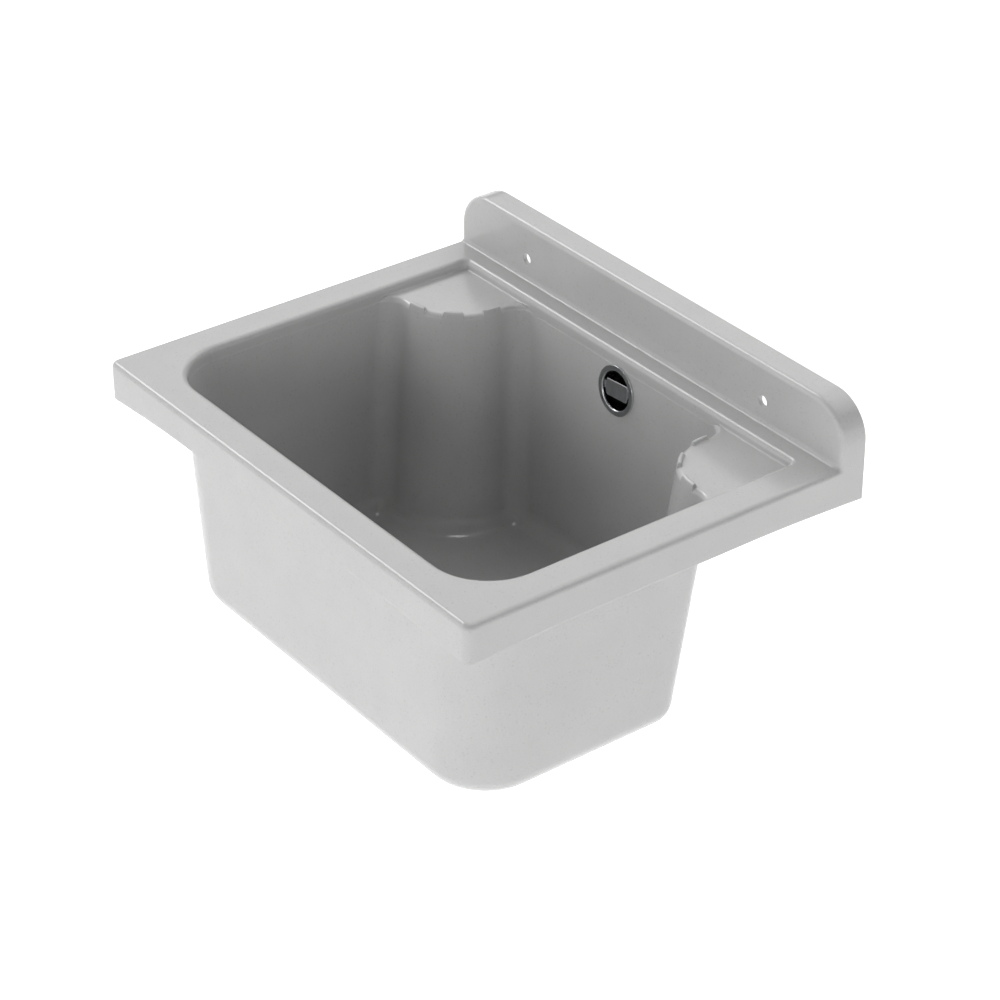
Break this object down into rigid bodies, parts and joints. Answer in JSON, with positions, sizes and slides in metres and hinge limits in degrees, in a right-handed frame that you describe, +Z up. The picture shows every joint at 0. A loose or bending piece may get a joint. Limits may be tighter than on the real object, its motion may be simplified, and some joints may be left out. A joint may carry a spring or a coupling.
{
  "type": "utility sink",
  "caption": "Wall-hung utility sink moulded in grey speckled composite: hollow upstand, ridged soap trays on round corner columns, rim overflow, screwed basket waste and lift-out plug.",
  "frame": {"origin": "midway between the two wall screw holes, on the front face of the upstand", "axes": "+X to the right as seen by a user, +Y towards the wall, +Z up"},
  "size_m": [0.5, 0.39, 0.3423],
  "materials": {
    "granite": "satin, fine dark speckles",
    "chrome": "polished",
    "rubber": "matte",
    "plastic": "satin",
    "brass": "machined"
  },
  "bodies": {
    "sink": {"basin": "granite", "overflow_rose": "chrome", "overflow_seal": "rubber", "overflow_elbow": "rubber", "elbow_nut": "plastic", "elbow_washer": "rubber", "upper_pipe": "plastic", "slip_nut": "plastic", "slip_washer": "rubber", "lower_pipe": "plastic", "inlet_nut": "plastic", "inlet_washer": "rubber", "waste_flange": "chrome", "waste_screw": "chrome", "flange_seal": "rubber", "body_seal": "rubber", "waste_body": "plastic", "screw_insert": "brass"},
    "plug": {"plug_stopper": "rubber", "plug_cap": "chrome"}
  },
  "joints": [
    {"name": "plug_lift", "type": "slide", "parent": "sink", "child": "plug", "axis": [0, 0, 1], "range_m": [0, 0.28]}
  ]
}
